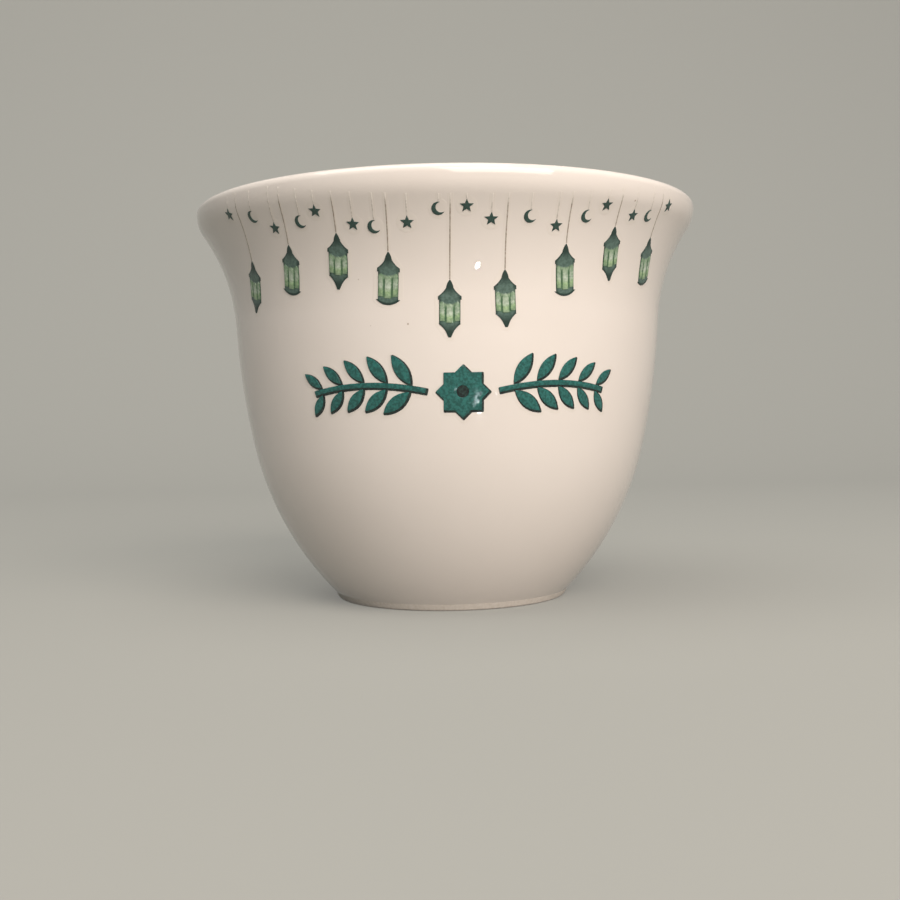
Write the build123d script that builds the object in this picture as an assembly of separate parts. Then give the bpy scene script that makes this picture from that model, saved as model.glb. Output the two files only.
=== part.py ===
from build123d import *
import os
from math import atan2, cos, degrees, hypot, radians, sin, sqrt, tau

# A small handle-less coffee cup: a porcelain body with a foot ring and a flared lip, a glaze over it,
# and a raised print of hanging lanterns, stars and crescents above a leaf ornament.
# Millimetres, +Z up, origin on the cup's axis at the level of the foot. The print faces -Y.

# Finished cup, over the glaze
CUP_HEIGHT = 50.9
LIP_DIAMETER = 65.0
LIP_DROP = 1.0            # height of the upright edge of the lip
LIP_ROUND = 0.9           # rounding of the lip's two edges
FOOT_DIAMETER = 31.2      # at the top of the foot
FOOT_HEIGHT = 0.9
FOOT_TAPER = 0.5          # the foot draws in by this much on each side towards the table
FOOT_RING = 3.0           # width of the ring at the top of the foot
FOOT_ROUND = 0.5
RECESS_DEPTH = 1.5        # finished hollow under the foot
WALL = 2.5                # finished wall, glaze included
FLOOR_HEIGHT = 4.3        # finished inside floor above the table
BOWL_ROUND = 9.0          # rounding between the inside floor and the wall
GLAZE = 0.3

# Joints of the wall's arcs, as shares of its spread and its rise from the foot to the lip's upright edge
WALL_JOINTS = [(0.0, 0.0), (0.5976, 0.3873), (0.7249, 0.7152), (0.9586, 0.9539), (1.0, 1.0)]

# Layers of the print, from the glaze outwards
FILM = 0.12               # clear film
INK = 0.06                # each pass of ink
FILM_MARGIN = 0.4         # film round each motif
STRIP_WIDTH = 0.7         # film along a thread
REACH = 4.0               # half depth of the stamps that cut a motif out of its layer

# The lantern sheet is cut flat and lies on the flare as on a cone
SHEET_CONE = 16.0         # half angle of that cone
SHEET_DROP = 3.0          # line y = 0 of the sheet below the lip's top, at the front
SHEET_TURN = -1.2         # the sheet sits slightly askew
SHEET_TOP = 0.3           # upper ends of the threads on the sheet
THREAD_DROP = 1.05        # no thread comes nearer to the lip's top than this
THREAD_WIDTH = 0.2
THREAD_GAP = 0.05         # between a thread and what hangs on it

# Lantern
LANTERN_WIDTH = 2.6       # over the eaves
FINIAL_WIDTH = 0.84
FINIAL_HEIGHT = 0.95
ROOF_HEIGHT = 1.85        # tip to the top of the eaves, finial included
EAVES = 0.4
BODY_WIDTH = 2.36
PANE_HEIGHT = 2.4         # over all the panes of a lantern that ends in a point
TALL_PANE_HEIGHT = 2.8    # over all the panes of a lantern on a base
PANE_WIDTH = 0.78         # middle pane
PANE_SAG = 0.2            # the middle pane hangs lower than its neighbours
SIDE_PANE_WIDTH = 0.58
MULLION = 0.15
SILL = 0.12               # frame above and below the panes
TAIL_HEIGHT = 1.5         # pointed end below
TAIL_WIDTH = 2.5
NECK_DROP = 0.85          # narrowing of the pointed end, below its top
NECK_WIDTH = 0.9
TAIL_TIP = 0.3
BASE_HEIGHT = 0.62        # dished base below
BASE_WIDTH = 2.84
OUTLINE_BOW = 0.07        # swell of the finial, and hollow of the roof and the pointed end

# Star and crescent
STAR_POINTS = 5
STAR_RADIUS = 0.8
STAR_WAIST = 0.36
CRESCENT_RADIUS = 0.75
CRESCENT_BITE = 0.6       # radius of the circle that hollows it
BITE_SHIFT = 0.34
CRESCENT_TURN = 25.0      # the horns open to the right and slightly up

# Places on the sheet: across from the front, down from y = 0. A lantern and its thread hang from one line.
POINTED_LANTERNS = {1: (-27.0, 9.9), 3: (-12.7, 5.1), 5: (0.6, 9.8), 6: (7.0, 8.8), 8: (21.5, 4.8)}
BASE_LANTERNS = {2: (-19.6, 7.0), 4: (-6.5, 6.9), 7: (14.6, 6.3), 9: (29.0, 6.9)}
STARS = [(-28.8, 4.3), (-21.2, 5.2), (-15.0, 2.7), (-10.5, 4.0), (-4.2, 3.6), (2.4, 1.7), (5.2, 3.2),
         (13.0, 4.2), (19.4, 2.1), (24.0, 3.7), (30.6, 3.1)]
CRESCENTS = [(-24.4, 4.1), (-17.2, 4.1), (-8.0, 4.2), (-0.7, 2.0), (9.7, 3.0), (16.9, 3.3), (27.0, 4.0)]

# Leaf ornament below the lanterns
ORNAMENT_ACROSS = 1.6     # its middle from the front, along the wall
ORNAMENT_DROP = 24.3      # its middle below the lip's top
ROSETTE_RADIUS = 3.0
ROSETTE_TURN = 45.0       # between the rosette's two squares
ROSETTE_HOLE = 0.7
SPRIG_START = 4.2         # stem's inner end from the ornament's middle
SPRIG_LENGTH = 13.6
SPRIG_BOW = 0.9           # rise of the stem's middle
STEM_WIDTH = 0.55
LEAF_PAIRS = 5
LEAF_LENGTH = 3.9         # leaf next to the rosette
LEAF_TAPER = 0.3          # each pair is this much shorter than the one before
LEAF_FULLNESS = 0.36      # width of a leaf as a share of its length
LEAF_ANGLE = 48.0         # between a leaf and the stem
LEAF_GAP = 0.15           # between a leaf's foot and the stem
EDGE = 0.14               # dark edge showing round the teal ink
EDGE_SHIFT = 0.12         # the dark edge is heavier on the right and below

lip_radius = LIP_DIAMETER / 2
foot_radius = FOOT_DIAMETER / 2
recess_radius = foot_radius - FOOT_RING


def inward(direction):
    """Direction into the wall, square to the wall's upward direction."""
    return Vector(-direction.Y, direction.X)


def wall_stations():
    """Joints between the arcs of the finished outside, each with the wall's upward direction there.

    The wall is upright at the lip, and each arc runs on from the one above it.
    """
    spread = lip_radius - foot_radius
    rise = CUP_HEIGHT - LIP_DROP - FOOT_HEIGHT
    points = [Vector(foot_radius + out * spread, FOOT_HEIGHT + up * rise) for out, up in WALL_JOINTS]
    direction = Vector(0, 1)
    joints = [(points[-1], direction)]
    for above, below in zip(points[::-1], points[-2::-1]):
        direction = (TangentArc(above, below, tangent=direction * -1) % 1) * -1
        joints.insert(0, (below, direction))
    return joints


stations = wall_stations()


def wall_line(inset):
    """Arcs of the wall from the foot to the lip, drawn back from the finished outside."""
    points = [point + inward(direction) * inset for point, direction in stations]
    return [
        TangentArc(start, end, tangent=direction)
        for start, end, (_, direction) in zip(points, points[1:], stations)
    ]


def bowl_face(inset, top):
    """Half section of all that lies inside the wall line, up to a height."""
    line = wall_line(inset)
    start = line[0] @ 0
    end = line[-1] @ 1
    close = Polyline(end, (end.X, top), (0, top), (0, start.Y), start)
    return make_face([*line, *close.edges()])


def cup_section(skin):
    """Half section of the cup above its foot, drawn back from every glazed surface."""
    floor = FLOOR_HEIGHT - skin
    rim = CUP_HEIGHT - skin
    above = rim + WALL
    room = Pos(0, floor) * Rectangle(LIP_DIAMETER, above, align=(Align.MIN, Align.MIN))
    hollow = bowl_face(WALL - skin, above) & room
    floor_edge = hollow.vertices().group_by(Axis.Y)[0].sort_by(Axis.X)[-1]
    hollow = fillet(floor_edge, BOWL_ROUND + skin)
    section = bowl_face(skin, rim) - hollow
    lip_edges = section.vertices().group_by(Axis.Y)[-1]
    return fillet(lip_edges, LIP_ROUND - skin)


def turned(face):
    """A half section spun round the cup's axis."""
    return revolve(Plane.XZ * face, Axis.Z)


def make_cup():
    """Porcelain body, glaze coat and the glaze inside the foot ring."""
    ledge = stations[0][0] + inward(stations[0][1]) * GLAZE
    toe = (foot_radius - FOOT_TAPER, 0)
    foot = Polygon((0, 0), toe, (foot_radius, FOOT_HEIGHT), ledge, (0, ledge.Y), align=None)
    clay = cup_section(GLAZE) + foot
    glaze = cup_section(0) - clay
    recess_roof = RECESS_DEPTH + GLAZE
    clay -= Rectangle(recess_radius, recess_roof, align=(Align.MIN, Align.MIN))
    clay = fillet(clay.vertices().group_by(Axis.Y)[0], FOOT_ROUND)
    pool = Pos(0, RECESS_DEPTH) * Rectangle(recess_radius, GLAZE, align=(Align.MIN, Align.MIN))
    return turned(clay), turned(glaze), turned(pool)


def print_layer(inner, outer):
    """Thin ring of the print between two distances outside the glaze."""
    return turned(bowl_face(-outer, CUP_HEIGHT) - bowl_face(-inner, CUP_HEIGHT))


outside = Wire(wall_line(0))
HALVINGS = 40             # steps of the search below, enough to find a length exactly


def length_at(height):
    """Length along the wall from the foot to a height, by halving the span that holds it."""
    low = 0.0
    high = outside.length
    for _ in range(HALVINGS):
        middle = (low + high) / 2
        if outside.position_at(middle, position_mode=PositionMode.LENGTH).Y < height:
            low = middle
        else:
            high = middle
    return low


def wall_seat(length, bearing, tilt=0.0):
    """Place on the finished wall, X to the right, Y up the wall, at a bearing in radians from the front."""
    point = outside.position_at(length, position_mode=PositionMode.LENGTH)
    direction = outside.tangent_at(length, position_mode=PositionMode.LENGTH)
    origin = (point.X * sin(bearing), -point.X * cos(bearing), point.Y)
    across = (cos(bearing), sin(bearing), 0)
    outward = (direction.Y * sin(bearing), -direction.Y * cos(bearing), -direction.X)
    return Plane(origin, x_dir=across, z_dir=outward).location * Rot(0, 0, tilt)


sheet_length = length_at(CUP_HEIGHT - SHEET_DROP)
sheet_slope = sin(radians(SHEET_CONE))
sheet_apex = outside.position_at(sheet_length, position_mode=PositionMode.LENGTH).X / sheet_slope
thread_limit = sheet_apex + length_at(CUP_HEIGHT - THREAD_DROP) - sheet_length


def sheet_seat(across, down):
    """Seat of a place on the flat lantern sheet, which wraps the flare as it would a cone."""
    turn = radians(SHEET_TURN)
    right = across * cos(turn) + down * sin(turn)
    below = down * cos(turn) - across * sin(turn)
    reach = hypot(right, sheet_apex - below)
    swing = atan2(right, sheet_apex - below)
    return wall_seat(sheet_length + reach - sheet_apex, swing / sheet_slope, degrees(swing + turn))


def thread_top(across):
    """Upper end on the sheet of the thread at a place across it, kept below the lip."""
    highest = sheet_apex - sqrt(thread_limit ** 2 - across ** 2)
    return max(SHEET_TOP, highest + across * sin(radians(SHEET_TURN)))


def stamp(seat, drawing, layer):
    """The piece of a thin layer under a flat drawing laid on a seat."""
    return extrude(seat * drawing, REACH, both=True) & layer


def lantern_outline(pane_height, pointed):
    """Silhouette of a lantern, hanging from its tip at the origin."""
    finial = (FINIAL_WIDTH / 2, -FINIAL_HEIGHT)
    eaves = (LANTERN_WIDTH / 2, -ROOF_HEIGHT)
    eaves_low = (LANTERN_WIDTH / 2, -ROOF_HEIGHT - EAVES)
    side = BODY_WIDTH / 2
    wall_low = -ROOF_HEIGHT - EAVES - pane_height - 2 * SILL
    edges = [
        SagittaArc((0, 0), finial, OUTLINE_BOW),
        SagittaArc(finial, eaves, -OUTLINE_BOW),
        *Polyline(eaves, eaves_low, (side, eaves_low[1]), (side, wall_low)).edges(),
    ]
    if pointed:
        shoulder = (TAIL_WIDTH / 2, wall_low)
        neck = (NECK_WIDTH / 2, wall_low - NECK_DROP)
        tip = (TAIL_TIP / 2, wall_low - TAIL_HEIGHT)
        edges += [
            Line((side, wall_low), shoulder),
            SagittaArc(shoulder, neck, -OUTLINE_BOW),
            *Polyline(neck, tip, (0, tip[1])).edges(),
        ]
    else:
        brim = (BASE_WIDTH / 2, wall_low)
        edges.append(Line((side, wall_low), brim))
        edges.append(TangentArc((0, wall_low - BASE_HEIGHT), brim, tangent=(1, 0)))
    return make_face([*edges, *[mirror(edge, Plane.YZ) for edge in edges]])


def window(width, height):
    """Pane with a pointed head, standing on the origin."""
    side = width / 2
    shoulder = height - side
    return Polygon((-side, 0), (side, 0), (side, shoulder), (0, height), (-side, shoulder), align=None)


def lantern_panes(pane_height):
    """The middle pane and its two narrow neighbours, which stand a little higher."""
    low = -ROOF_HEIGHT - EAVES - SILL - pane_height
    height = pane_height - PANE_SAG
    step = PANE_WIDTH / 2 + MULLION + SIDE_PANE_WIDTH / 2
    side = Pos(0, PANE_SAG) * window(SIDE_PANE_WIDTH, height)
    return Pos(0, low) * (window(PANE_WIDTH, height) + Pos(-step, 0) * side + Pos(step, 0) * side)


def star_outline():
    """Five-pointed star about the origin, one point up."""
    corners = 2 * STAR_POINTS
    turns = [index * tau / corners for index in range(corners)]
    radii = [STAR_RADIUS, STAR_WAIST] * STAR_POINTS
    points = [(radius * sin(turn), radius * cos(turn)) for radius, turn in zip(radii, turns)]
    return Polygon(*points, align=None)


def crescent_outline():
    """Crescent about the origin, its horns to the right and slightly up."""
    bite = Pos(BITE_SHIFT, 0) * Circle(CRESCENT_BITE)
    return Rot(0, 0, CRESCENT_TURN) * (Circle(CRESCENT_RADIUS) - bite)


def leaf(length):
    """Pointed leaf from the origin along X."""
    half = length * LEAF_FULLNESS / 2
    return make_face([SagittaArc((0, 0), (length, 0), half), SagittaArc((length, 0), (0, 0), half)])


def sprig():
    """Stem and leaves of the right-hand sprig, about the middle of its stem."""
    half = SPRIG_LENGTH / 2
    spine = SagittaArc((-half, 0), (half, 0), SPRIG_BOW)
    stem = trace(spine, STEM_WIDTH)
    stand_off = (STEM_WIDTH / 2 + LEAF_GAP) / sin(radians(LEAF_ANGLE))
    leaves = []
    for pair in range(LEAF_PAIRS):
        share = (pair + 0.5) / LEAF_PAIRS
        foot = spine @ share
        along = degrees(atan2((spine % share).Y, (spine % share).X))
        for angle in (LEAF_ANGLE, -LEAF_ANGLE):
            blade = Pos(stand_off, 0) * leaf(LEAF_LENGTH - pair * LEAF_TAPER)
            leaves.append(Pos(foot.X, foot.Y) * Rot(0, 0, along + angle) * blade)
    return stem, Sketch() + leaves


def rosette():
    """Eight-pointed star of two squares with a round eye."""
    square = Rectangle(ROSETTE_RADIUS * sqrt(2), ROSETTE_RADIUS * sqrt(2))
    return square + Rot(0, 0, ROSETTE_TURN) * square - Circle(ROSETTE_HOLE)


def dark_edge(drawing):
    """The layer that shows as a dark line round a drawing, heavier on the right and below."""
    filled = Sketch() + [make_face(face.outer_wire()) for face in drawing.faces()]
    return Pos(EDGE_SHIFT, -EDGE_SHIFT) * offset(filled, EDGE, kind=Kind.ARC)


film_layer = print_layer(0, FILM)
ink_layer = print_layer(FILM, FILM + INK)
top_layer = print_layer(FILM + INK, FILM + 2 * INK)
nodes = {}
film = []
threads = {"lantern_threads": [], "star_threads": [], "crescent_threads": []}


def hang(group, across, tip):
    """Thread from the top of the sheet down to a motif's tip, with its strip of film."""
    top = thread_top(across)
    length = tip - THREAD_GAP - top
    seat = sheet_seat(across, top + length / 2)
    threads[group].append(stamp(seat, Rectangle(THREAD_WIDTH, length), ink_layer))
    film.append(stamp(seat, Rectangle(STRIP_WIDTH, length), film_layer))


def add_lantern(number, across, tip, pointed):
    """Frame and panes of one hanging lantern."""
    pane_height = PANE_HEIGHT if pointed else TALL_PANE_HEIGHT
    outline = lantern_outline(pane_height, pointed)
    middle = outline.bounding_box().size.Y / 2
    seat = sheet_seat(across, tip + middle)
    lift = Pos(0, middle)
    nodes[f"lantern_{number}_frame"] = stamp(seat, lift * outline, ink_layer)
    nodes[f"lantern_{number}_panes"] = stamp(seat, lift * lantern_panes(pane_height), top_layer)
    film.append(stamp(seat, lift * offset(outline, FILM_MARGIN, kind=Kind.ARC), film_layer))
    hang("lantern_threads", across, tip)


def add_charms(name, places, outline, radius):
    """A row of like stars or crescents, each on its thread."""
    for number, (across, down) in enumerate(places, 1):
        seat = sheet_seat(across, down)
        nodes[f"{name}_{number}"] = stamp(seat, outline, ink_layer)
        film.append(stamp(seat, Circle(radius + FILM_MARGIN), film_layer))
        hang(f"{name}_threads", across, down - radius)


def ornament_seat(across):
    """Seat on the level line of the ornament, at a distance along the wall from its middle."""
    length = length_at(CUP_HEIGHT - ORNAMENT_DROP)
    radius = outside.position_at(length, position_mode=PositionMode.LENGTH).X
    return wall_seat(length, (ORNAMENT_ACROSS + across) / radius)


def add_ornament():
    """Rosette with a sprig on either side, teal over a dark edge."""
    flower = rosette()
    middle = ornament_seat(0)
    nodes["rosette"] = stamp(middle, flower, top_layer)
    nodes["rosette_edge"] = stamp(middle, dark_edge(flower), ink_layer)
    film.append(stamp(middle, Circle(ROSETTE_RADIUS + EDGE + FILM_MARGIN), film_layer))
    stem, leaves = sprig()
    for side, sign in (("right", 1), ("left", -1)):
        seat = ornament_seat(sign * (SPRIG_START + SPRIG_LENGTH / 2))
        if sign < 0:
            stem, leaves = mirror(stem, Plane.YZ), mirror(leaves, Plane.YZ)
        edge = dark_edge(stem + leaves)
        nodes[f"{side}_sprig_stem"] = stamp(seat, stem, top_layer)
        nodes[f"{side}_sprig_leaves"] = stamp(seat, leaves, top_layer)
        nodes[f"{side}_sprig_edge"] = stamp(seat, edge, ink_layer)
        film.append(stamp(seat, offset(edge, FILM_MARGIN, kind=Kind.ARC), film_layer))


nodes["porcelain_body"], nodes["glaze_coat"], nodes["foot_glaze"] = make_cup()
for number, (across, tip) in POINTED_LANTERNS.items():
    add_lantern(number, across, tip, pointed=True)
for number, (across, tip) in BASE_LANTERNS.items():
    add_lantern(number, across, tip, pointed=False)
add_charms("star", STARS, star_outline(), STAR_RADIUS)
add_charms("crescent", CRESCENTS, crescent_outline(), CRESCENT_RADIUS)
add_ornament()
for group, pieces in threads.items():
    nodes[group] = Part() + pieces
nodes["clear_film"] = Part() + film

os.makedirs("parts", exist_ok=True)
for name, shape in nodes.items():
    export_step(shape, f"parts/{name}.step")
    print(name, len(shape.solids()), round(shape.volume, 4))
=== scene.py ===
"""Looks of a small porcelain coffee cup: turned body and glaze, raised print, and a plain stage.

Metres, +Z up, origin on the cup's axis at the level of the foot. The print faces -Y.
"""

from collections import namedtuple
from math import acos, asin, atan2, ceil, cos, hypot, pi, radians, sin, sqrt, tan, tau

import bpy
from bpy.props import FloatProperty, FloatVectorProperty, PointerProperty
from bpy.types import NodeSocket, Operator, Panel, PropertyGroup
from mathutils import Matrix, Vector


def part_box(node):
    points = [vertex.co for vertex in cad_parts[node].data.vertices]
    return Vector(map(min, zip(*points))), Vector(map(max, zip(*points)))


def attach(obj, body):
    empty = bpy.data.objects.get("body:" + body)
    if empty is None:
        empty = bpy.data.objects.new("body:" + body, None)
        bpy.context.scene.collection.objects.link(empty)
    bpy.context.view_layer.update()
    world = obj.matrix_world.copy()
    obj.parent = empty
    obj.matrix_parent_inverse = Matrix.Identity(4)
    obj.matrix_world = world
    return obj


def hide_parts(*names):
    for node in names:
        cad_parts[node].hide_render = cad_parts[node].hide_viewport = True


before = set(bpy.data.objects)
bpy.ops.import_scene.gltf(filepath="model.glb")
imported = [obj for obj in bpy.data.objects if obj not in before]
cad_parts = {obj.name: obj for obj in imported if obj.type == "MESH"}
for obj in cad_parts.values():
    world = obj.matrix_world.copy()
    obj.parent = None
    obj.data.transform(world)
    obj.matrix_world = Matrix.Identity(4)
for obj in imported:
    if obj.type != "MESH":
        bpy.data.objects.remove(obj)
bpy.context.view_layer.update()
glaze_low, glaze_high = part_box("glaze_coat")

bl_info = {
    "name": "Porcelain coffee cup",
    "version": (1, 0, 0),
    "blender": (4, 5, 0),
    "location": "3D View > Sidebar > Coffee Cup",
    "description": "Builds a glazed coffee cup with a raised lantern print",
    "category": "Object",
}

MM = 0.001
BODY = "root"

# Places on the lantern sheet in millimetres: across from the front, down from the sheet's upper line
POINTED_LANTERNS = {1: (-27.0, 9.9), 3: (-12.7, 5.1), 5: (0.6, 9.8), 6: (7.0, 8.8), 8: (21.5, 4.8)}
BASE_LANTERNS = {2: (-19.6, 7.0), 4: (-6.5, 6.9), 7: (14.6, 6.3), 9: (29.0, 6.9)}
STARS = [(-28.8, 4.3), (-21.2, 5.2), (-15.0, 2.7), (-10.5, 4.0), (-4.2, 3.6), (2.4, 1.7), (5.2, 3.2),
         (13.0, 4.2), (19.4, 2.1), (24.0, 3.7), (30.6, 3.1)]
CRESCENTS = [(-24.4, 4.1), (-17.2, 4.1), (-8.0, 4.2), (-0.7, 2.0), (9.7, 3.0), (16.9, 3.3), (27.0, 4.0)]

# Joints of the wall's arcs, as shares of its spread and its rise from the foot to the lip's upright edge
WALL_JOINTS = [(0.0, 0.0), (0.5976, 0.3873), (0.7249, 0.7152), (0.9586, 0.9539), (1.0, 1.0)]

# Fineness of the meshes
TURN_STEPS = 216          # round the cup
LINE_STEP = 0.6 * MM      # along the section of the cup
HIDDEN_STEP = 2.5 * MM    # along the hidden face between clay and glaze
ROUND_STEPS = 10          # in a rounded edge of the section
BOW_STEPS = 6             # in a bowed stretch of an outline
LEAF_STEPS = 12           # in each side of a leaf
CIRCLE_STEPS = 32         # in a round outline
CORNER_STEPS = 4          # in a rounded corner of an outline
SHOULDER_STEPS = 4        # in the rounded shoulder of a raised shape
SHOULDER_LIP = 0.1        # upright share of that shoulder
BEND_STEP = 0.9 * MM      # between the cuts that let a flat shape follow the wall
REACH = 4 * MM            # how far off the wall a flat shape starts before it is pressed on
TINY = MM / 1000          # points nearer than this are one point
SHARP_TURN = radians(15)  # an outline's corner sharper than this is rounded when it is drawn out
TURNED_CREASE = radians(40)  # sharpest edge shaded smooth on a turned piece
PRINT_CREASE = radians(60)  # sharpest edge shaded smooth on the print

LINE_SAG = 0.045          # rise of a lantern's painted lines at its sides, in depths per square millimetre
SOFT_LINE = 0.02          # half the softness of such a line, in depths


def linear(code):
    """An sRGB hex colour as the linear values that shaders take."""
    channels = [int(code[place:place + 2], 16) / 255 for place in (1, 3, 5)]
    return (*[c / 12.92 if c <= 0.04045 else ((c + 0.055) / 1.055) ** 2.4 for c in channels], 1.0)


def size(name, millimetres, description):
    """A length that a user can change."""
    return FloatProperty(name=name, description=description, default=millimetres * MM, unit="LENGTH")


def slope(name, value, description):
    """An angle that a user can change."""
    return FloatProperty(name=name, description=description, default=radians(value), subtype="ANGLE")


def paint(name, code, description):
    """A colour that a user can change."""
    return FloatVectorProperty(
        name=name, description=description, default=linear(code), subtype="COLOR", size=4, min=0, max=1
    )


class CupSizes(PropertyGroup):
    """Sizes of the finished cup, over the glaze"""

    height: size("Height", glaze_high.z / MM, "Foot to the top of the lip")
    lip_diameter: size("Lip diameter", (glaze_high.x - glaze_low.x) / MM, "Across the rolled lip")
    lip_drop: size("Lip drop", 1.0, "Height of the upright edge of the lip")
    lip_round: size("Lip rounding", 0.9, "Rounding of the lip's two edges")
    foot_diameter: size("Foot diameter", 31.2, "Across the top of the foot")
    foot_height: size("Foot height", 0.9, "Height of the dry foot")
    foot_taper: size("Foot taper", 0.5, "The foot draws in by this much on each side towards the table")
    foot_ring: size("Foot ring", 3.0, "Width of the ring at the top of the foot")
    foot_round: size("Foot rounding", 0.5, "Rounding of the foot's edges")
    recess: size("Recess", 1.5, "Depth of the hollow under the foot")
    meniscus: size("Meniscus", 0.5, "How far the glaze pool climbs the inside of the foot ring")
    wall: size("Wall", 2.5, "Wall thickness, glaze included")
    floor: size("Floor", 4.3, "Inside floor above the table")
    bowl_round: size("Bowl rounding", 9.0, "Rounding between the inside floor and the wall")
    glaze: size("Glaze", 0.3, "Thickness of the glaze")


class PrintSizes(PropertyGroup):
    """Layers and layout of the raised print"""

    film: size("Film", 0.01, "Thickness of the clear film")
    ink: size("Ink", 0.06, "Thickness of each pass of ink")
    film_margin: size("Film margin", 0.4, "Film round each motif")
    film_shoulder: size("Film shoulder", 0.3, "Width over which the film's edge is rounded off")
    ink_shoulder: size("Ink shoulder", 0.03, "Width over which the ink's edge is rounded off")
    strip: size("Strip", 0.7, "Width of the film along a thread")
    thread: size("Thread", 0.15, "Width of a thread")
    thread_ink: size("Thread ink", 0.02, "Thickness of a thread's ink")
    thread_gap: size("Thread gap", 0.05, "Between a thread and what hangs on it")
    thread_drop: size("Thread drop", 1.05, "No thread comes nearer to the lip's top than this")
    sheet_cone: slope("Sheet cone", 16.0, "Half angle of the cone that the lantern sheet lies on")
    sheet_drop: size("Sheet drop", 3.0, "Upper line of the sheet below the lip's top, at the front")
    sheet_turn: slope("Sheet turn", -1.2, "The sheet sits slightly askew")
    sheet_top: size("Sheet top", 0.3, "Upper ends of the threads on the sheet")


class LanternSizes(PropertyGroup):
    """Sizes of one printed lantern"""

    width: size("Width", 2.6, "Over the eaves")
    finial_width: size("Finial width", 0.84, "Width at the foot of the finial")
    finial_height: size("Finial height", 0.95, "Height of the finial")
    roof_height: size("Roof height", 1.85, "Tip to the top of the eaves, finial included")
    eaves: size("Eaves", 0.4, "Height of the eaves")
    body_width: size("Body width", 2.36, "Width of the glazed body")
    panes: size("Panes", 2.4, "Height over the panes of a lantern that ends in a point")
    tall_panes: size("Tall panes", 2.8, "Height over the panes of a lantern on a base")
    pane_width: size("Pane width", 0.78, "Width of the middle pane")
    pane_sag: size("Pane sag", 0.2, "The middle pane hangs this much lower than its neighbours")
    side_pane_width: size("Side pane width", 0.58, "Width of a side pane")
    mullion: size("Mullion", 0.15, "Bar between two panes")
    sill: size("Sill", 0.12, "Frame above and below the panes")
    tail_height: size("Tail height", 1.5, "Height of the pointed end")
    tail_width: size("Tail width", 2.5, "Width of the pointed end")
    neck_drop: size("Neck drop", 0.85, "Narrowing of the pointed end, below its top")
    neck_width: size("Neck width", 0.9, "Width of the pointed end where it narrows")
    tail_tip: size("Tail tip", 0.3, "Width at the lowest point")
    base_height: size("Base height", 0.62, "Depth of the dished base")
    base_width: size("Base width", 2.84, "Width of the dished base")
    bow: size("Bow", 0.07, "Swell of the finial, and hollow of the roof and the pointed end")


class CharmSizes(PropertyGroup):
    """Sizes of the stars, the crescents and the leaf ornament"""

    star_radius: size("Star radius", 0.8, "To the points")
    star_waist: size("Star waist", 0.36, "To the corners between the points")
    crescent_radius: size("Crescent radius", 0.75, "Outside of the crescent")
    crescent_bite: size("Crescent bite", 0.6, "Radius of the circle that hollows it")
    bite_shift: size("Bite shift", 0.34, "That circle from the middle of the crescent")
    crescent_turn: slope("Crescent turn", 25.0, "The horns open to the right and slightly up")
    ornament_across: size("Ornament across", 1.6, "Middle of the ornament from the front")
    ornament_drop: size("Ornament drop", 24.3, "Middle of the ornament below the lip's top")
    rosette_radius: size("Rosette radius", 3.0, "To the points of the rosette")
    rosette_hole: size("Rosette hole", 0.7, "Radius of its eye")
    sprig_start: size("Sprig start", 4.2, "Inner end of a stem from the ornament's middle")
    sprig_length: size("Sprig length", 13.6, "Length of a stem")
    sprig_bow: size("Sprig bow", 0.9, "Rise of the stem's middle")
    stem: size("Stem", 0.55, "Width of the stem")
    leaf: size("Leaf", 3.9, "Length of the leaf next to the rosette")
    leaf_taper: size("Leaf taper", 0.3, "Each pair is this much shorter than the one before")
    leaf_angle: slope("Leaf angle", 48.0, "Between a leaf and the stem")
    leaf_gap: size("Leaf gap", 0.15, "Between a leaf's foot and the stem")
    edge: size("Edge", 0.14, "Dark edge showing round the teal ink")
    edge_shift: size("Edge shift", 0.12, "The dark edge is heavier on the right and below")


class CupColours(PropertyGroup):
    """Colours of the cup and its stage"""

    glaze: paint("Glaze", "#EEE7E2", "Clear glaze over white porcelain")
    glaze_cloud: paint("Glaze cloud", "#E9E1DB", "Faint clouds where the glaze is thicker")
    speck: paint("Speck", "#8A6A50", "Iron specks in the glaze")
    # Partly painted shade: this clay tone is set darker than bare porcelain to stand in for the shade on the
    # foot
    clay: paint("Clay", "#CFC6BA", "Dry porcelain of the foot ring")
    film: paint("Film", "#EDE6E0", "Clear film of the print over the glaze")
    film_cloud: paint("Film cloud", "#E8E0D9", "Faint clouds in the film")
    roof: paint("Roof", "#283D38", "Dark ink along the edges of roofs, tails and bases")
    roof_light: paint("Roof light", "#5C756D", "Washed-out ink on the domes")
    frame_green: paint("Frame green", "#567A59", "Bars of the lantern bodies")
    pane: paint("Pane", "#98AF93", "Pane ink at the top and the sides")
    pane_light: paint("Pane light", "#CCD8CA", "Pane ink where the light seems to stand")
    pane_glow: paint("Pane glow", "#ABC99A", "Pane ink at the foot, where the flame would be")
    charm: paint("Charm", "#35504A", "Ink of the stars and crescents")
    thread: paint("Thread", "#9E9286", "Ink of the threads")
    teal: paint("Teal", "#2E716C", "Ink of the leaf ornament")
    teal_dark: paint("Teal dark", "#1F5450", "Where that ink lies thicker")
    edge: paint("Edge", "#141D20", "Dark edge of the leaf ornament")
    floor: paint("Floor", "#8A8A85", "Floor and backdrop")


Arc = namedtuple("Arc", "radius height lean turn bend start")


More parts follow.
